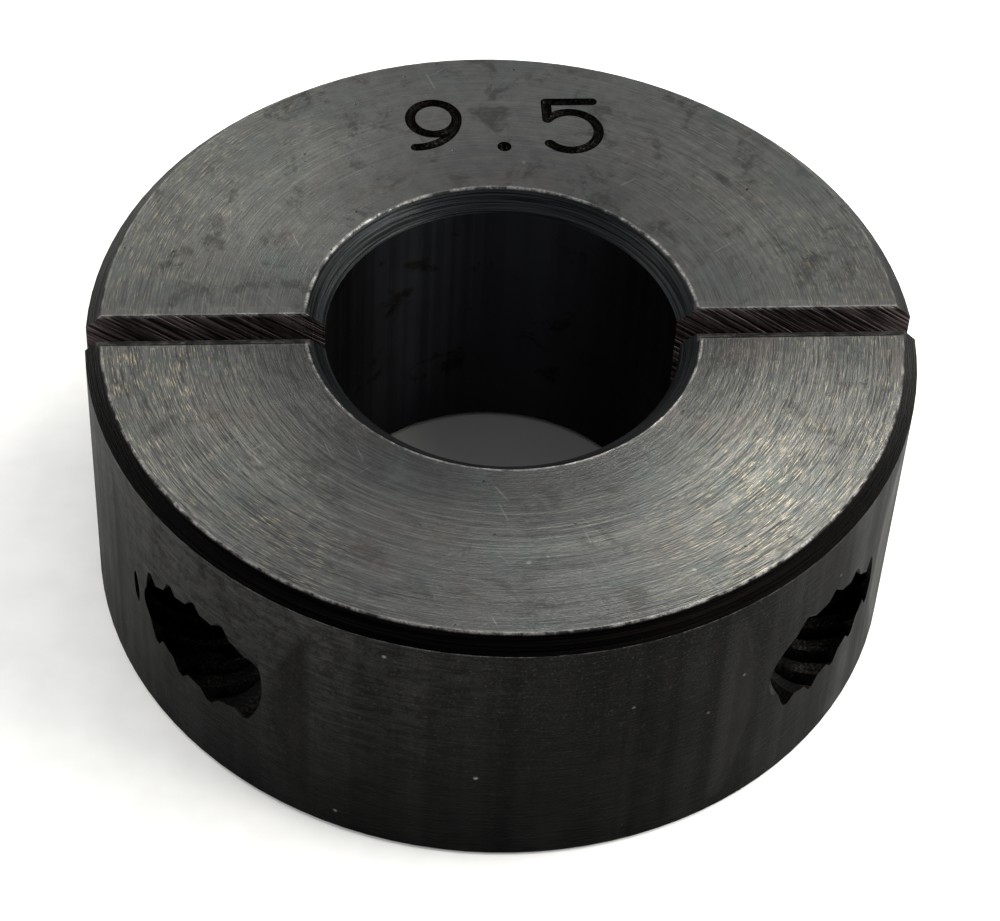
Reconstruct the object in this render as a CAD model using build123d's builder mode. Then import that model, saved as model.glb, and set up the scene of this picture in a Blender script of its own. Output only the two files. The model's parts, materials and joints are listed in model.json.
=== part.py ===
from build123d import *
from math import cos, radians, tan
import os

# Two-piece clamping shaft collar for a 3/8 in (9.525 mm) shaft. Two steel half rings close round
# the shaft and two socket head cap screws draw them together.
# Frame: origin on the shaft axis in the lower end face, +Z along the shaft. The split lies in the
# XZ plane, the tapped half is on the -Y side and the screws enter from the +Y side. Millimetres.

INCH = 25.4

# Collar ring
outer_radius = 7 / 8 * INCH / 2
bore_radius = 3 / 8 * INCH / 2
width = 11 / 32 * INCH
split_gap = 0.86
outer_chamfer = 0.42
bore_chamfer_radial = 0.54
bore_chamfer_axial = 0.48
lower_edge_break = 0.12
lower_bore_break = 0.18
split_bevel_run = 0.28
split_bevel_drop = 0.10

# Screws: 6-32 UNC x 1/4 in socket head cap screws, axes along Y at half the width
pitch = INCH / 32
screw_x = 8.1
screw_z = width / 2
screw_length = 1 / 4 * INCH
seat_y = 2.4
head_radius = 0.226 * INCH / 2
head_height = 0.138 * INCH
head_chamfer = 0.3
socket_across_flats = 7 / 64 * INCH
socket_depth = 1.7
socket_lead_in = 0.12
knurl_count = 36
knurl_groove_radius = 0.13
knurl_start = 0.55
knurl_end = 0.5
tip_chamfer = 0.45

# Thread form: 60 degree flanks, with a working clearance between screw and tapped hole
flank_angle = 30
tapped_minor_radius = 1.52
tapped_major_radius = 1.81
tapped_root_flat = 0.12
screw_root_radius = 1.34
screw_crest_radius = 1.72
screw_crest_flat = 0.07
ridge_overlap = 0.05
tapped_turns = 14
screw_turns = 7

# Holes of the rear half
clearance_radius = 0.1495 * INCH / 2
counterbore_radius = head_radius + 0.08

# Stamped bore size: round-bottomed strokes
stroke_radius = 0.15
stroke_lift = 0.02
digit_height = 1.86
nine_bowl_radius = 0.66
five_half_width = 0.66
five_waist = 1.12
five_bowl_reach = 0.76
five_bowl_height = 0.60
five_tail_rise = 0.12
point_radius = 0.20
digit_pitch = 3.9
stamp_x = 0.45
stamp_y = 6.95

# How far cutting bodies run past the surface they open
run_out = 1.0
screw_margin = 0.1


def y_plane(y, x):
    """Plane square to a screw's axis, its normal along -Y, with the screw's axis at its origin."""
    return Plane(origin=(x, y, screw_z), x_dir=(1, 0, 0), z_dir=(0, -1, 0))


def ring_profile():
    """Half section of the ring: chamfers on the upper face, small edge breaks on the lower one."""
    with BuildSketch(Plane.XZ) as profile:
        with BuildLine():
            Polyline(
                (bore_radius + lower_bore_break, 0),
                (outer_radius - lower_edge_break, 0),
                (outer_radius, lower_edge_break),
                (outer_radius, width - outer_chamfer),
                (outer_radius - outer_chamfer, width),
                (bore_radius + bore_chamfer_radial, width),
                (bore_radius, width - bore_chamfer_axial),
                (bore_radius, lower_bore_break),
                close=True,
            )
        make_face()
    return profile.sketch


def half_ring(side):
    """Half of the ring on the +Y side (side 1) or the -Y side (side -1) of the split."""
    with BuildPart() as half:
        add(ring_profile())
        revolve(axis=Axis.Z)
        with BuildSketch(Plane.XY):
            with Locations((0, side * (outer_radius + split_gap / 2) / 2)):
                Rectangle(2 * outer_radius, outer_radius - split_gap / 2)
        extrude(amount=width, mode=Mode.INTERSECT)
    return half.part


def helical_thread(x, start_y, turns, inner_radius, outer_edge_radius, inner_width, outer_width):
    """Right-hand thread body from start_y towards -Y, its section a trapezium."""
    top = y_plane(start_y, x)
    path = Helix(pitch, turns * pitch, inner_radius).locate(top.location)
    start = Plane(origin=path @ 0, x_dir=(1, 0, 0), z_dir=path % 0)
    height = outer_edge_radius - inner_radius
    with BuildPart() as thread:
        with BuildSketch(start):
            with BuildLine():
                Polyline(
                    (0, -inner_width / 2),
                    (height, -outer_width / 2),
                    (height, outer_width / 2),
                    (0, inner_width / 2),
                    close=True,
                )
            make_face()
        sweep(path=path, is_frenet=True)
    return thread.part


def tapped_groove(x):
    """Thread groove of the tapped hole, which starts clear of the split face."""
    inner = tapped_minor_radius - ridge_overlap
    flank = 2 * (tapped_major_radius - inner) * tan(radians(flank_angle))
    return helical_thread(
        x, pitch, tapped_turns, inner, tapped_major_radius, tapped_root_flat + flank, tapped_root_flat
    )


def screw_ridge(x):
    """Thread ridge of a screw; it starts a whole number of pitches from the tapped groove."""
    inner = screw_root_radius - ridge_overlap
    flank = 2 * (screw_crest_radius - inner) * tan(radians(flank_angle))
    return helical_thread(
        x, 2 * pitch, screw_turns, inner, screw_crest_radius, screw_crest_flat + flank, screw_crest_flat
    )


def socket_screw(x):
    """Cap screw with a knurled head and a hexagon socket, its head bearing on the seat."""
    tip_y = seat_y - screw_length
    top_y = seat_y + head_height
    socket_corner_radius = socket_across_flats / 2 / cos(radians(30))
    shank_limit = screw_crest_radius + screw_margin
    head_limit = head_radius + screw_margin
    with BuildPart() as screw:
        with BuildSketch(y_plane(top_y, x)):
            Circle(head_radius)
        extrude(amount=head_height)
        chamfer(screw.edges().sort_by(Axis.Y)[-1], head_chamfer)
        with BuildSketch(y_plane(top_y - knurl_start, x)):
            with PolarLocations(head_radius + knurl_groove_radius / 3, knurl_count):
                Circle(knurl_groove_radius)
        extrude(amount=head_height - knurl_start - knurl_end, mode=Mode.SUBTRACT)
        with BuildSketch(y_plane(top_y, x)):
            RegularPolygon(socket_across_flats / 2, 6, major_radius=False)
        extrude(amount=socket_depth, mode=Mode.SUBTRACT)
        with BuildSketch(y_plane(top_y, x)):
            Circle(socket_corner_radius + socket_lead_in)
        extrude(amount=socket_lead_in * 2, taper=45, mode=Mode.SUBTRACT)
        with BuildSketch(y_plane(seat_y, x)):
            Circle(screw_root_radius)
        extrude(amount=screw_length)
        add(screw_ridge(x))
        with BuildSketch(Plane(origin=(x, 0, screw_z), x_dir=(1, 0, 0), z_dir=(0, 0, 1))):
            with BuildLine():
                Polyline(
                    (0, tip_y),
                    (screw_crest_radius - tip_chamfer, tip_y),
                    (shank_limit, tip_y + tip_chamfer + screw_margin),
                    (shank_limit, seat_y),
                    (head_limit, seat_y),
                    (head_limit, top_y),
                    (0, top_y),
                    close=True,
                )
            make_face()
        revolve(axis=Axis((x, 0, screw_z), (0, 1, 0)), mode=Mode.INTERSECT)
    return screw.part


def stamped_stroke(path):
    """Body of a stamped stroke: a round bar along each line of the path and a ball at each end."""
    with BuildPart() as stroke:
        for line in path.edges():
            with BuildSketch(Plane(origin=line @ 0, z_dir=line % 0)):
                Circle(stroke_radius)
            sweep(path=line)
        with Locations(*[corner.center() for corner in path.vertices()]):
            Sphere(stroke_radius)
    return stroke.part


def stamped_size():
    """Bodies of the stamped bore size "9.5" on the rear half's upper face, read from the front."""
    stamp_plane = Plane.XY.offset(width + stroke_lift)
    nine_x = stamp_x - digit_pitch / 2
    five_x = stamp_x + digit_pitch / 2
    top = stamp_y + digit_height
    bowl_y = top - nine_bowl_radius
    tail_radius = bowl_y - stamp_y
    with BuildLine(stamp_plane) as nine_tail:
        CenterArc((nine_x + nine_bowl_radius - tail_radius, bowl_y), tail_radius, 0, -90)
    with BuildLine(stamp_plane) as five:
        Polyline(
            (five_x + five_half_width, top),
            (five_x - five_half_width, top),
            (five_x - five_half_width, stamp_y + five_waist),
        )
        ThreePointArc(
            (five_x - five_half_width, stamp_y + five_waist),
            (five_x + five_bowl_reach, stamp_y + five_bowl_height),
            (five_x - five_half_width, stamp_y + five_tail_rise),
        )
    with BuildPart() as size:
        for path in (nine_tail.line, five.line):
            add(stamped_stroke(path))
        with Locations((nine_x, bowl_y, width + stroke_lift)):
            Torus(nine_bowl_radius, stroke_radius)
        with Locations((stamp_x, stamp_y, width + stroke_lift)):
            Sphere(point_radius)
    return size.part


os.makedirs("parts", exist_ok=True)

# Front half: tapped through for both screws, its upper split edge bevelled
with BuildPart() as front_half:
    add(half_ring(-1))
    with BuildSketch(Plane.YZ.offset(-outer_radius)):
        with BuildLine():
            Polyline(
                (-split_gap / 2 - split_bevel_run, width),
                (-split_gap / 2, width),
                (-split_gap / 2, width - split_bevel_drop),
                close=True,
            )
        make_face()
    extrude(amount=2 * outer_radius, mode=Mode.SUBTRACT)
    for x in (-screw_x, screw_x):
        with BuildSketch(y_plane(0, x)):
            Circle(tapped_minor_radius)
        extrude(amount=outer_radius, mode=Mode.SUBTRACT)
        add(tapped_groove(x), mode=Mode.SUBTRACT)
front_half.part.label = "front_half"
export_step(front_half.part, "parts/front_half.step")

# Rear half: clearance holes with counterbores for the screw heads, and the stamped bore size
with BuildPart() as rear_half:
    add(half_ring(1))
    for x in (-screw_x, screw_x):
        with BuildSketch(y_plane(seat_y, x)):
            Circle(clearance_radius)
        extrude(amount=seat_y, mode=Mode.SUBTRACT)
        with BuildSketch(y_plane(outer_radius + run_out, x)):
            Circle(counterbore_radius)
        extrude(amount=outer_radius + run_out - seat_y, mode=Mode.SUBTRACT)
    add(stamped_size(), mode=Mode.SUBTRACT)
rear_half.part.label = "rear_half"
export_step(rear_half.part, "parts/rear_half.step")

# Screws
for side, x in (("left", -screw_x), ("right", screw_x)):
    screw = socket_screw(x)
    screw.label = side + "_screw"
    export_step(screw, "parts/" + side + "_screw.step")
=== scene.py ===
import json
import math

import bpy
from mathutils import Matrix, Vector


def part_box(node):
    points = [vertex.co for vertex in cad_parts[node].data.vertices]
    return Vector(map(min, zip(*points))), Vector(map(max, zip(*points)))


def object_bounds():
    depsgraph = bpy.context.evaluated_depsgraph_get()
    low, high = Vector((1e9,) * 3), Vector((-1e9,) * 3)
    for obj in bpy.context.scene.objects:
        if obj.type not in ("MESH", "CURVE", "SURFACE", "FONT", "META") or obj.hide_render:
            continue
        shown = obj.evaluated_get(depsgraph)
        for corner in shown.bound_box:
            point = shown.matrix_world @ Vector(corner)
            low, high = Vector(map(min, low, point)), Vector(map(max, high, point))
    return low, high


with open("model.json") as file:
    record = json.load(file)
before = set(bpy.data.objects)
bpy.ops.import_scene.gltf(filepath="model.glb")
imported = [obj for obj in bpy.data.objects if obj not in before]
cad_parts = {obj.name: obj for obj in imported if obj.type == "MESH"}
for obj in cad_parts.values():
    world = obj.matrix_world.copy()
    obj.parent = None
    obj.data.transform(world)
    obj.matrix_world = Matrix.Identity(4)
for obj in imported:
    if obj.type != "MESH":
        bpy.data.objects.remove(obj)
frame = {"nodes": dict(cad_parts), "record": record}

MM = 0.001

cad_low, cad_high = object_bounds()

# Places and sizes that the materials follow, worked out from the frame
width = cad_high.z - cad_low.z
outer_radius = (cad_high.y - cad_low.y) / 2
bore_radius = frame["record"]["mounts"][0]["dims"]["r_mm"] * MM
chamfer_radial = 0.54 * MM
outer_chamfer = 0.42 * MM
mouth_radius = bore_radius + chamfer_radial
face_radius = outer_radius - outer_chamfer

# The same in millimetres, the unit in which the textures are laid out
top_z = width / MM
split_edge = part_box("rear_half")[0].y / MM


def grey(value, warm=0.0):
    """A near-neutral colour; warm above 0 leans to brown, below 0 to blue."""
    return (value * (1 + warm), value, value * (1 - warm), 1.0)


# Colours of the black oxide steel, linear
TURNED_DARK = (0.034, 0.036, 0.037, 1.0)
TURNED_PALE = (0.130, 0.131, 0.128, 1.0)
TURNED_MIDDLE = (0.082, 0.084, 0.086, 1.0)
GROOVE_PALE = (0.205, 0.200, 0.180, 1.0)
BAND_PALE = (0.128, 0.130, 0.122, 1.0)
OXIDE_DARK = (0.078, 0.081, 0.078, 1.0)
OXIDE_PALE = (0.112, 0.115, 0.108, 1.0)
DARK_BY_BORE = grey(0.022, -0.03)
SMUDGE = grey(0.030, 0.03)
# Painted highlight: warm glints on the turned end face
PAINTED_GOLD_GLINT = (0.40, 0.345, 0.235, 1.0)
TEAL_TINT = (0.078, 0.098, 0.094, 1.0)
BROWN_TINT = (0.104, 0.082, 0.074, 1.0)
SCRATCH = grey(0.26, 0.02)
# Painted shade on the outer wall, strongest towards the +X side
WALL_PAINTED_SHADE = grey(0.001)
WALL_STAIN = (0.0045, 0.0040, 0.0038, 1.0)
WALL_SPECK = grey(0.045, 0.04)
BORE_SHEEN = (0.021, 0.022, 0.026, 1.0)
BORE_STAIN = grey(0.010, 0.1)
# Painted shade in the bore, towards the split
BORE_PAINTED_SHADE = grey(0.002)
# Bare steel of worn edges, also a painted edge highlight
BARE_STEEL_AND_EDGE_HIGHLIGHT = grey(0.34, 0.03)
DUST = grey(0.30, 0.02)
PIT_BLACK = grey(0.004, 0.1)
# Painted shade: the outer wall's tones run darker at its foot than at its top
WALL_FOOT_TONES = (grey(0.0006), grey(0.0026))
WALL_TOP_TONES = (grey(0.016, -0.02), grey(0.043, 0.03))
HOLE_TONES = (grey(0.0012, 0.08), grey(0.010, 0.12))
OUTER_CHAMFER_TONES = (grey(0.0005), (0.0032, 0.0024, 0.0024, 1.0))
BORE_CHAMFER_TONES = (grey(0.004, -0.06), grey(0.020, -0.08))
SAWN_TONES = ((0.014, 0.010, 0.011, 1.0), (0.120, 0.095, 0.095, 1.0))

# Depth of the modelled relief, and how far each half is rubbed to grey and how strong its painted glints,
# painted edge highlights and painted wall shade are, 0 to 1
RELIEF_DEPTH = 0.046 * MM
SCREW_RELIEF_DEPTH = 0.006 * MM
FRONT_WEAR_AND_PAINTED_LIGHT = 1.0
REAR_WEAR_AND_PAINTED_LIGHT = 0.35

# The photograph's viewpoint: angles in degrees, lens and sensor in millimetres
CAMERA_AZIMUTH = -5.97
CAMERA_ELEVATION = 47.6
CAMERA_ROLL = 3.49
CAMERA_DISTANCE = 92.7 * MM
CAMERA_AIM_RIGHT = 0.27 * MM
CAMERA_AIM_UP = 2.19 * MM
CAMERA_LENS = 116.4
CAMERA_SENSOR = 36.0


class Nodes:
    """Short helper for building a node tree: makes nodes and links them by value or socket."""

    def __init__(self, name):
        self.material = bpy.data.materials.new(name)
        self.material.use_nodes = True
        self.tree = self.material.node_tree
        self.tree.nodes.clear()

    def new(self, kind, **settings):
        node = self.tree.nodes.new("ShaderNode" + kind)
        for key, value in settings.items():
            setattr(node, key, value)
        return node

    def put(self, socket, value):
        """A socket is linked to another socket or set to a plain value."""
        if isinstance(value, bpy.types.NodeSocket):
            self.tree.links.new(value, socket)
        else:
            socket.default_value = value

    def math(self, operation, a, b=0.0, clamp=False):
        node = self.new("Math", operation=operation, use_clamp=clamp)
        for socket, value in zip(node.inputs, (a, b)):
            self.put(socket, value)
        return node.outputs[0]

    def vector(self, operation, a, b=None, scale=None):
        node = self.new("VectorMath", operation=operation)
        self.put(node.inputs[0], a)
        if b is not None:
            self.put(node.inputs[1], b)
        if scale is not None:
            self.put(node.inputs["Scale"], scale)
        return node.outputs["Value"] if operation in ("LENGTH", "DOT_PRODUCT") else node.outputs[0]

    def combine(self, x, y, z):
        node = self.new("CombineXYZ")
        for socket, value in zip(node.inputs, (x, y, z)):
            self.put(socket, value)
        return node.outputs[0]

    def noise(self, vector, scale, detail=2.0, roughness=0.5, distortion=0.0):
        """Noise of about the given number of bumps per unit of the vector, 0 to 1."""
        node = self.new("TexNoise", noise_dimensions="3D")
        self.put(node.inputs["Vector"], vector)
        self.put(node.inputs["Scale"], scale)
        self.put(node.inputs["Detail"], detail)
        self.put(node.inputs["Roughness"], roughness)
        self.put(node.inputs["Distortion"], distortion)
        return node.outputs[0]

    def cells(self, vector, scale):
        """Distance to the nearest of scattered points."""
        node = self.new("TexVoronoi", feature="F1")
        self.put(node.inputs["Vector"], vector)
        self.put(node.inputs["Scale"], scale)
        return node.outputs["Distance"]

    def ramp(self, value, low, high, to_low=0.0, to_high=1.0, smooth=True):
        """Maps low..high to to_low..to_high, clamped, with a smooth or straight run."""
        node = self.new("MapRange", interpolation_type="SMOOTHSTEP" if smooth else "LINEAR")
        for socket, item in zip(node.inputs, (value, low, high, to_low, to_high)):
            self.put(socket, item)
        return node.outputs[0]

    def mix(self, factor, a, b):
        """Colour mix; a and b are colours or sockets."""
        node = self.new("Mix", data_type="RGBA", blend_type="MIX")
        self.put(node.inputs[0], factor)
        self.put(node.inputs[6], a)
        self.put(node.inputs[7], b)
        return node.outputs[2]

    def bump(self, height, distance, strength=1.0, normal=None):
        node = self.new("Bump")
        self.put(node.inputs["Height"], height)
        node.inputs["Distance"].default_value = distance
        node.inputs["Strength"].default_value = strength
        if normal is not None:
            self.put(node.inputs["Normal"], normal)
        return node.outputs[0]

    def finished(self, shader):
        """The material, with this shader as its surface."""
        output = self.new("OutputMaterial")
        self.put(output.inputs["Surface"], shader.outputs[0])
        return self.material


def surface_coordinates(n):
    """Place on the part in millimetres and the surface's direction there, as named sockets."""
    coordinates = n.new("TexCoord")
    point = n.vector("SCALE", coordinates.outputs["Object"], scale=1 / MM)
    split = n.new("SeparateXYZ")
    n.put(split.inputs[0], point)
    x, y, z = split.outputs
    flat = n.combine(x, y, 0.0)
    direction = n.new("SeparateXYZ")
    n.put(direction.inputs[0], coordinates.outputs["Normal"])
    ny, nz = direction.outputs[1], direction.outputs[2]
    return {
        "point": point,
        "x": x,
        "y": y,
        "z": z,
        "r": n.vector("LENGTH", flat),
        "angle": n.math("ARCTAN2", y, x),
        "normal": coordinates.outputs["Normal"],
        "ny": ny,
        "nz": nz,
    }


def near(n, value, target, reach):
    """1 where value is at the target, falling to 0 at the given reach on both sides."""
    away = n.math("ABSOLUTE", n.math("SUBTRACT", value, target))
    return n.ramp(away, 0.0, reach, 1.0, 0.0)


def product(n, *factors):
    result = factors[0]
    for factor in factors[1:]:
        result = n.math("MULTIPLY", result, factor)
    return result


def scaled(n, value, factor):
    return n.math("MULTIPLY", value, factor)


def flip(n, value):
    return n.math("SUBTRACT", 1.0, value)


def across_turning(n, at):
    """Direction in the surface square to the turned lines, in which highlights are drawn out."""
    along = n.combine(n.math("MULTIPLY", at["y"], -1.0), at["x"], 0.0)
    across = n.vector("CROSS_PRODUCT", at["normal"], along)
    to_world = n.new("VectorTransform", vector_type="VECTOR", convert_from="OBJECT", convert_to="WORLD")
    n.put(to_world.inputs[0], across)
    return to_world.outputs[0]


def true_normal(n, at, wall, bore):
    """Normal of the round wall and bore, worked out from the axis; elsewhere the mesh's own."""
    outward = n.vector("NORMALIZE", n.combine(at["x"], at["y"], 0.0))
    round_part = n.vector("SCALE", outward, scale=n.math("SUBTRACT", wall, bore))
    other_part = n.vector("SCALE", at["normal"], scale=n.math("SUBTRACT", flip(n, wall), bore, clamp=True))
    to_world = n.new("VectorTransform", vector_type="NORMAL", convert_from="OBJECT", convert_to="WORLD")
    n.put(to_world.inputs[0], n.vector("ADD", round_part, other_part))
    return to_world.outputs[0]


def turned_rings(n, at, per_mm, per_radian, offset, detail=3.0):
    """Noise drawn out round the axis: per_mm sets how fine the rings are, per_radian how broken."""
    place = n.combine(scaled(n, at["r"], per_mm), scaled(n, at["angle"], per_radian), offset)
    return n.noise(place, 1.0, detail, 0.65)


def regions(n, at):
    """Masks, 0 to 1, of where on the collar half a point lies, as a dictionary."""
    r, z = at["r"], at["z"]
    rim, mouth = face_radius / MM, mouth_radius / MM
    up = n.ramp(at["nz"], 0.86, 0.96)
    at_top = n.ramp(z, top_z - 0.035, top_z - 0.012)
    slope = product(n, n.ramp(at["nz"], 0.3, 0.5), flip(n, up))
    facing = n.math("DIVIDE", n.vector("DOT_PRODUCT", at["normal"], n.combine(at["x"], at["y"], 0.0)), r)
    outermost = n.ramp(r, outer_radius / MM - 0.04, outer_radius / MM - 0.015)
    innermost = n.ramp(r, bore_radius / MM + 0.06, bore_radius / MM + 0.02)
    across = n.math("ABSOLUTE", at["y"])
    sawn = n.ramp(n.math("ABSOLUTE", at["ny"]), 0.93, 0.99)
    return {
        "end_face": n.math("MAXIMUM", product(n, up, at_top), n.ramp(at["nz"], -0.86, -0.96)),
        "slope": slope,
        "outer_slope": product(n, slope, n.ramp(r, rim - 0.05, rim)),
        "bore_slope": product(n, slope, n.ramp(r, mouth + 0.1, mouth)),
        "wall": product(n, outermost, n.ramp(facing, 0.75, 0.9)),
        "bore": product(n, innermost, n.ramp(facing, -0.75, -0.9)),
        "across": across,
        "split_face": product(n, sawn, n.ramp(across, split_edge + 0.05, split_edge + 0.02)),
    }


def oxide_textures(n, at):
    """Noises that several surfaces share: turned lines, cloudy oxide, grain and pits."""
    point = at["point"]
    fine_rings = turned_rings(n, at, 19.0, 1.8, 3.0)
    short_rings = turned_rings(n, at, 25.0, 9.0, 6.0)
    side_place = n.combine(scaled(n, at["z"], 9.0), scaled(n, at["angle"], 9.0), 1.0)
    saw_line = n.math("ADD", scaled(n, at["x"], 5.5), scaled(n, at["z"], 7.5))
    pit_noise = n.noise(n.vector("ADD", point, (5.0, 60.0, 2.0)), 3.4, 2.0, 0.6)
    return {
        "lines": n.math("ADD", scaled(n, fine_rings, 0.5), scaled(n, short_rings, 0.5)),
        "glints": turned_rings(n, at, 30.0, 19.0, 5.0),
        "side_rings": n.noise(side_place, 1.0, 4.0, 0.6),
        "saw": n.noise(n.combine(saw_line, scaled(n, at["z"], 0.5), 0.0), 1.0, 2.0, 0.6),
        "clouds": n.noise(point, 0.42, 4.0, 0.6, 0.3),
        "smudges": n.noise(n.vector("ADD", point, (31.0, 7.0, 3.0)), 0.75, 5.0, 0.72, 0.4),
        "mottle": n.noise(n.vector("ADD", point, (13.0, 1.0, 30.0)), 2.6, 4.0, 0.68),
        "grain": n.noise(point, 14.0, 3.0, 0.7),
        "pits": n.ramp(pit_noise, 0.72, 0.78),
    }


def scratched(n, at, tex, colour):
    """Fine scratches in a few directions, where the oxide has been rubbed."""
    for turn, where, shift in ((0.6, 0.50, 4.0), (-1.0, 0.52, 17.0), (1.9, 0.54, 29.0)):
        along_x, along_y = math.cos(turn), math.sin(turn)
        run = n.math("ADD", scaled(n, at["x"], along_x), scaled(n, at["y"], along_y))
        aside = n.math("SUBTRACT", scaled(n, at["y"], along_x), scaled(n, at["x"], along_y))
        streak = n.noise(n.combine(scaled(n, run, 0.55), scaled(n, aside, 13.0), shift), 1.0, 2.0)
        rubbed = n.ramp(tex["clouds"], where, where + 0.06)
        colour = n.mix(product(n, n.ramp(streak, 0.69, 0.73), rubbed, 0.28), colour, SCRATCH)
    return colour


def face_colour(n, at, tex, wear_and_painted_light):
    """Turned end face: ringed steel in the middle and outer part, darker towards the bore, warm painted
    glints as a painted highlight.
    """
    r, point = at["r"], at["point"]
    cut = n.ramp(tex["lines"], 0.41, 0.59)
    sideward = n.ramp(n.math("ABSOLUTE", at["x"]), 1.5, 6.5)
    face = n.mix(cut, TURNED_DARK, TURNED_PALE)
    face = n.mix(scaled(n, flip(n, sideward), 0.55), face, TURNED_MIDDLE)

    long_grooves = n.ramp(turned_rings(n, at, 12.0, 1.0, 12.0, 4.0), 0.54, 0.64)
    face = n.mix(product(n, long_grooves, near(n, r, 7.6, 2.6), 0.65), face, GROOVE_PALE)
    broad_rings = n.ramp(turned_rings(n, at, 3.4, 1.1, 9.0), 0.40, 0.62)
    face = n.mix(scaled(n, broad_rings, 0.35), face, BAND_PALE)
    smooth = n.mix(n.ramp(tex["mottle"], 0.34, 0.66), OXIDE_DARK, OXIDE_PALE)
    face = n.mix(0.25 + 0.65 * wear_and_painted_light, smooth, face)

    # The end face runs darker towards the bore
    by_bore = n.ramp(r, mouth_radius / MM, mouth_radius / MM + 3.4, 0.10 + 0.46 * wear_and_painted_light, 0.0)
    face = n.mix(by_bore, face, DARK_BY_BORE)
    soiled = scaled(n, n.ramp(tex["smudges"], 0.53, 0.65), 0.72 - 0.30 * wear_and_painted_light)
    face = n.mix(soiled, face, SMUDGE)

    # Painted highlight: warm glints in patches, towards the sides and the rim
    patches = n.noise(n.vector("ADD", point, (8.0, 44.0, 3.0)), 0.30, 3.0, 0.6)
    rubbed = n.ramp(patches, 0.40, 0.60, 0.30, 1.0)
    outer_part = n.ramp(r, 6.2, 9.2, 0.15, 1.0)
    painted_glints = product(n, n.ramp(tex["glints"], 0.54, 0.66), rubbed, outer_part, sideward, 0.85 * wear_and_painted_light + 0.08)
    face = n.mix(painted_glints, face, PAINTED_GOLD_GLINT)

    tint = n.noise(n.vector("ADD", point, (2.0, 3.0, 90.0)), 0.5, 4.0, 0.7)
    face = n.mix(scaled(n, n.ramp(tint, 0.53, 0.66), 0.35), face, TEAL_TINT)
    face = n.mix(scaled(n, n.ramp(tint, 0.46, 0.34), 0.25), face, BROWN_TINT)
    return scratched(n, at, tex, face)


def wall_colour(n, at, tex, wear_and_painted_light):
    """Outer wall with painted shade: paler near the upper edge and on the -X side, darker towards the foot
    and the +X side.
    """
    # Painted shade: darker towards the foot
    height = n.ramp(at["z"], 0.0, top_z, smooth=False)
    rings = n.ramp(tex["side_rings"], 0.3, 0.7)
    side_low = n.mix(rings, *WALL_FOOT_TONES)
    side_high = n.mix(rings, *WALL_TOP_TONES)
    side = n.mix(height, side_low, side_high)
    radius = outer_radius / MM
    # Painted shade, growing towards the +X side
    right_side_painted_shade = n.ramp(at["x"], -radius, radius * 0.3, 0.0, 0.55 + 0.37 * wear_and_painted_light)
    side = n.mix(right_side_painted_shade, side, WALL_PAINTED_SHADE)
    side = n.mix(scaled(n, n.ramp(tex["mottle"], 0.46, 0.62), 0.65), side, WALL_STAIN)
    specks = product(n, n.ramp(tex["grain"], 0.55, 0.70), scaled(n, height, 0.5))
    return n.mix(specks, side, WALL_SPECK)


def bore_colour(n, at, tex):
    """Bore: bluish black, soiled in patches, with painted shade that darkens it towards the split."""
    inside = n.mix(n.ramp(tex["smudges"], 0.56, 0.66), BORE_SHEEN, BORE_STAIN)
    # Painted shade: the bore darkens towards the split
    sideways_painted_shade = n.ramp(n.math("ABSOLUTE", at["x"]), 1.5, 4.3, 0.0, 0.85)
    return n.mix(sideways_painted_shade, inside, BORE_PAINTED_SHADE)


def bare_and_highlit_edges(n, at, tex, area, wear_and_painted_light):
    """How far each edge is rubbed to bare steel and given a painted edge highlight, in broken lines."""
    r, z = at["r"], at["z"]
    broken = n.ramp(n.noise(at["point"], 2.2, 4.0, 0.65), 0.40, 0.60, 0.12, 1.0)
    hair = n.ramp(tex["grain"], 0.30, 0.62, 0.3, 1.0)
    on_top = n.ramp(z, top_z - 0.07, top_z - 0.01)
    rim = product(n, near(n, r, face_radius / MM, 0.07), on_top, 0.35 + 0.4 * wear_and_painted_light)
    low_line = product(n, near(n, z, top_z - outer_chamfer / MM, 0.06), area["wall"], 0.22)
    mouth = product(n, near(n, r, mouth_radius / MM, 0.075), on_top)
    bevel = product(n, n.ramp(area["across"], split_edge + 0.32, split_edge + 0.24), 0.35 * wear_and_painted_light)
    split_line = n.math("MAXIMUM", near(n, area["across"], split_edge, 0.09), bevel)
    split_rim = product(n, split_line, n.ramp(z, top_z - 0.14, top_z - 0.03))
    edges = n.math("MAXIMUM", n.math("MAXIMUM", rim, mouth), n.math("MAXIMUM", split_rim, low_line))
    return product(n, edges, broken, hair)


def chamfer_ribs(n, at):
    """Fine ribs that run nearly all the way round, on the chamfers."""
    return n.noise(n.combine(scaled(n, at["r"], 26.0), scaled(n, at["angle"], 1.2), 2.0), 1.0, 2.0, 0.6)


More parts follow.
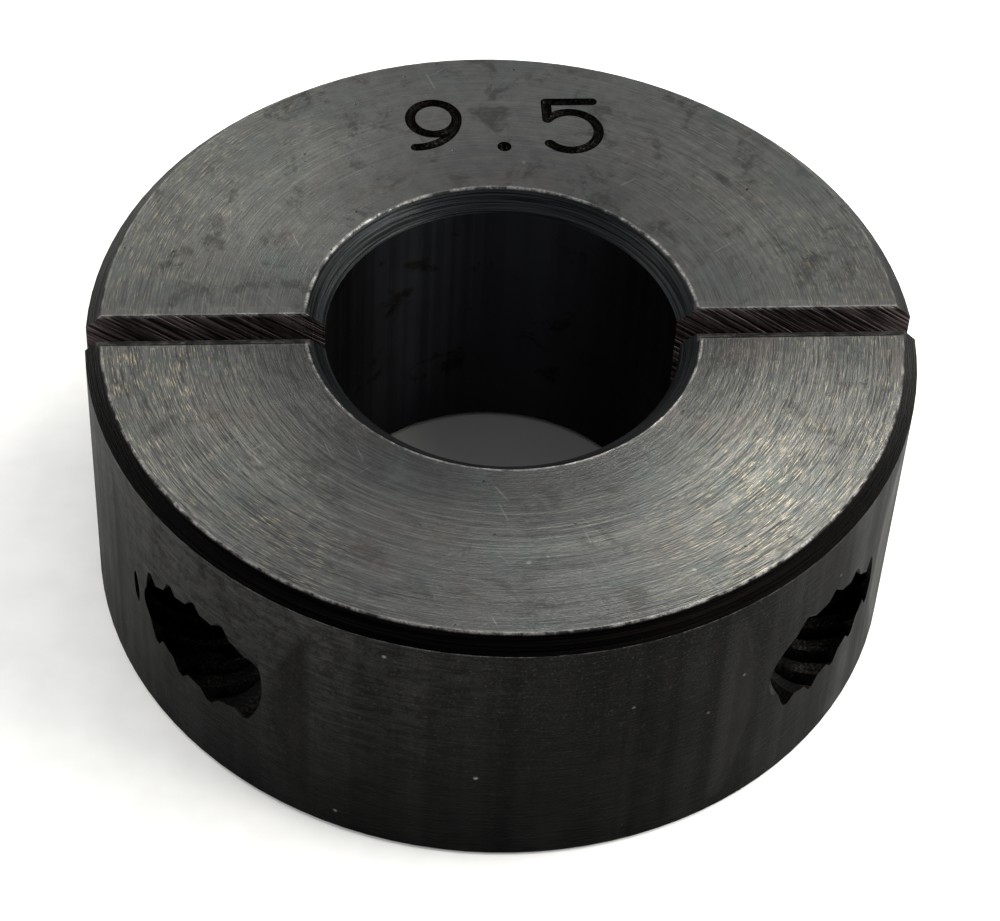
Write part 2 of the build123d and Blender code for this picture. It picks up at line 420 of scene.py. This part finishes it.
def collar_colour(n, at, tex, area, wear_and_painted_light):
    """Colour of the whole half: holes first, then each surface over them, edges, dust and pits."""
    hole = n.mix(n.ramp(tex["grain"], 0.45, 0.7), *HOLE_TONES)
    ribs = chamfer_ribs(n, at)
    outer_ribs = n.mix(n.ramp(ribs, 0.4, 0.7), *OUTER_CHAMFER_TONES)
    mouth_ribs = n.mix(n.ramp(ribs, 0.35, 0.65), *BORE_CHAMFER_TONES)
    sawn = n.mix(n.ramp(tex["saw"], 0.40, 0.62), *SAWN_TONES)

    colour = n.mix(area["wall"], hole, wall_colour(n, at, tex, wear_and_painted_light))
    colour = n.mix(area["bore"], colour, bore_colour(n, at, tex))
    colour = n.mix(area["end_face"], colour, face_colour(n, at, tex, wear_and_painted_light))
    colour = n.mix(area["outer_slope"], colour, outer_ribs)
    colour = n.mix(area["bore_slope"], colour, mouth_ribs)
    colour = n.mix(area["split_face"], colour, sawn)
    # Worn edges rubbed to bare steel, partly a painted edge highlight
    colour = n.mix(scaled(n, bare_and_highlit_edges(n, at, tex, area, wear_and_painted_light), 0.85), colour, BARE_STEEL_AND_EDGE_HIGHLIGHT)

    dust = n.ramp(n.cells(n.vector("ADD", at["point"], (1.0, 1.0, 1.0)), 0.75), 0.070, 0.015)
    dust = product(n, dust, n.ramp(tex["clouds"], 0.45, 0.52), flip(n, area["bore"]))
    colour = n.mix(scaled(n, dust, 0.5), colour, DUST)
    return n.mix(scaled(n, tex["pits"], 0.75), colour, PIT_BLACK)


def collar_roughness(n, tex, area):
    cut = n.ramp(tex["lines"], 0.41, 0.59)
    roughness = n.ramp(cut, 0.0, 1.0, 0.44, 0.33, smooth=False)
    roughness = n.math("ADD", roughness, scaled(n, n.math("SUBTRACT", tex["clouds"], 0.5), 0.2))
    roughness = n.math("ADD", roughness, n.ramp(area["end_face"], 0.0, 1.0, 0.08, 0.0, smooth=False))
    return n.math("ADD", roughness, scaled(n, area["wall"], 0.05), clamp=True)


def collar_relief(n, tex, area, wear_and_painted_light):
    """Height of the turned lines, wall grain, saw marks and pits."""
    turned = n.math("ADD", scaled(n, tex["lines"], 0.6), scaled(n, tex["glints"], 0.5 * wear_and_painted_light + 0.1))
    turned = product(n, turned, n.math("MAXIMUM", area["end_face"], area["slope"]), 0.40 + 0.60 * wear_and_painted_light)
    rough_wall = n.math("ADD", scaled(n, tex["side_rings"], 0.25), scaled(n, tex["grain"], 0.25))
    relief = n.math("ADD", turned, product(n, rough_wall, area["wall"]))
    relief = n.math("ADD", relief, product(n, tex["saw"], area["split_face"], 2.0))
    return n.math("SUBTRACT", relief, scaled(n, tex["pits"], 0.2))


def collar_material(name, wear_and_painted_light):
    """Black oxide steel of a collar half. wear_and_painted_light, 0 to 1, sets how far the end face is
    rubbed to grey and how strong the painted glints, painted edge highlights and painted wall shade are.
    """
    n = Nodes(name)
    at = surface_coordinates(n)
    area = regions(n, at)
    tex = oxide_textures(n, at)
    base_normal = true_normal(n, at, area["wall"], area["bore"])
    relief = collar_relief(n, tex, area, wear_and_painted_light)

    shader = n.new("BsdfPrincipled")
    n.put(shader.inputs["Base Color"], collar_colour(n, at, tex, area, wear_and_painted_light))
    shader.inputs["Metallic"].default_value = 1.0
    shader.inputs["Specular Tint"].default_value = (0.78, 0.78, 0.78, 1.0)
    n.put(shader.inputs["Roughness"], collar_roughness(n, tex, area))
    shader.inputs["Anisotropic"].default_value = 0.75
    n.put(shader.inputs["Tangent"], across_turning(n, at))
    n.put(shader.inputs["Normal"], n.bump(relief, RELIEF_DEPTH, 0.95, base_normal))
    return n.finished(shader)


def screw_material():
    """Black oxide alloy steel of the cap screws: clouded, with a rubbed grey grain."""
    n = Nodes("screw_black_oxide")
    coordinates = n.new("TexCoord")
    point = n.vector("SCALE", coordinates.outputs["Object"], scale=1 / MM)
    cloud = n.noise(point, 1.8, 4.0, 0.6)
    grain = n.noise(point, 22.0, 3.0, 0.7)
    colour = n.mix(n.ramp(cloud, 0.35, 0.65), grey(0.022, -0.06), grey(0.045, 0.02))
    colour = n.mix(n.math("MULTIPLY", n.ramp(grain, 0.55, 0.7), 0.5), colour, grey(0.10, 0.04))
    shader = n.new("BsdfPrincipled")
    n.put(shader.inputs["Base Color"], colour)
    shader.inputs["Metallic"].default_value = 1.0
    n.put(shader.inputs["Roughness"], n.ramp(grain, 0.3, 0.7, 0.28, 0.46))
    n.put(shader.inputs["Normal"], n.bump(grain, SCREW_RELIEF_DEPTH, 0.6))
    return n.finished(shader)


def floor_material():
    """Pale paper; the round of it under the bore is painted dark as a painted shadow."""
    n = Nodes("pale_floor")
    coordinates = n.new("TexCoord")
    place = coordinates.outputs["Object"]
    fleck = n.noise(place, 900.0, 3.0)
    paper = n.mix(n.ramp(fleck, 0.3, 0.7), grey(0.86), grey(0.90))
    out = n.vector("LENGTH", place)
    # Painted shadow: the paper under the bore is painted dark
    shade = n.ramp(out, bore_radius, outer_radius, 0.0, 1.0)
    paper = n.mix(shade, grey(0.22), paper)
    shader = n.new("BsdfPrincipled")
    n.put(shader.inputs["Base Color"], paper)
    shader.inputs["Roughness"].default_value = 0.9
    shader.inputs["Specular IOR Level"].default_value = 0.1
    return n.finished(shader)


def paint(obj, material):
    """The whole object takes one material."""
    obj.data.materials.clear()
    obj.data.materials.append(material)


def make_floor():
    size = 0.6
    mesh = bpy.data.meshes.new("floor")
    half = size / 2
    corners = [(-half, -half, 0), (half, -half, 0), (half, half, 0), (-half, half, 0)]
    mesh.from_pydata(corners, [], [(0, 1, 2, 3)])
    floor = bpy.data.objects.new("floor", mesh)
    floor.location.z = cad_low.z - 0.01 * MM
    bpy.context.scene.collection.objects.link(floor)
    paint(floor, floor_material())


def direction(azimuth, elevation):
    """Unit vector from the collar, in degrees; azimuth 0 is the front (-Y) and 90 is +X."""
    a, e = math.radians(azimuth), math.radians(elevation)
    return Vector((math.sin(a) * math.cos(e), -math.cos(a) * math.cos(e), math.sin(e)))


def make_light(name, azimuth, elevation, distance, size, power, colour):
    """A soft rectangular light that faces the collar from the given direction."""
    data = bpy.data.lights.new(name, "AREA")
    data.shape = "RECTANGLE"
    data.size, data.size_y = size
    data.energy = power
    data.color = colour
    light = bpy.data.objects.new(name, data)
    back = direction(azimuth, elevation)
    centre = (cad_low + cad_high) / 2
    light.location = centre + back * distance
    light.rotation_mode = "QUATERNION"
    light.rotation_quaternion = (-back).to_track_quat("-Z", "Y")
    bpy.context.scene.collection.objects.link(light)


def make_world():
    world = bpy.data.worlds.new("studio")
    world.use_nodes = True
    world.node_tree.nodes["Background"].inputs["Color"].default_value = grey(1.0)
    world.node_tree.nodes["Background"].inputs["Strength"].default_value = 1.0
    bpy.context.scene.world = world


def make_camera():
    """The photograph's viewpoint: above the front, a little to the left, close to the collar."""
    turn = math.radians(CAMERA_AZIMUTH)
    roll = math.radians(CAMERA_ROLL)
    back = direction(CAMERA_AZIMUTH, CAMERA_ELEVATION)
    right = Vector((math.cos(turn), math.sin(turn), 0.0))
    up = back.cross(right)
    right, up = (
        right * math.cos(roll) + up * math.sin(roll),
        up * math.cos(roll) - right * math.sin(roll),
    )
    aim = right * CAMERA_AIM_RIGHT + up * CAMERA_AIM_UP
    data = bpy.data.cameras.new("photo_camera")
    data.lens = CAMERA_LENS
    data.sensor_width = CAMERA_SENSOR
    data.clip_start = 0.005
    camera = bpy.data.objects.new("photo_camera", data)
    place = Matrix((right, up, back)).transposed().to_4x4()
    place.translation = aim + back * CAMERA_DISTANCE
    camera.matrix_world = place
    bpy.context.scene.collection.objects.link(camera)
    bpy.context.scene.camera = camera


front, rear = frame["nodes"]["front_half"], frame["nodes"]["rear_half"]
paint(front, collar_material("front_half_black_oxide", FRONT_WEAR_AND_PAINTED_LIGHT))
paint(rear, collar_material("rear_half_black_oxide", REAR_WEAR_AND_PAINTED_LIGHT))
screw_finish = screw_material()
for screw_name in ("left_screw", "right_screw"):
    paint(frame["nodes"][screw_name], screw_finish)

make_floor()
make_world()
make_light("right_softbox", 95, 47, 0.25, (0.28, 0.07), 1.05, (1.0, 0.985, 0.91))
make_light("left_softbox", -120, 48, 0.25, (0.12, 0.06), 0.16, (1.0, 0.97, 0.88))
make_camera()

bpy.context.scene.view_settings.view_transform = "Standard"
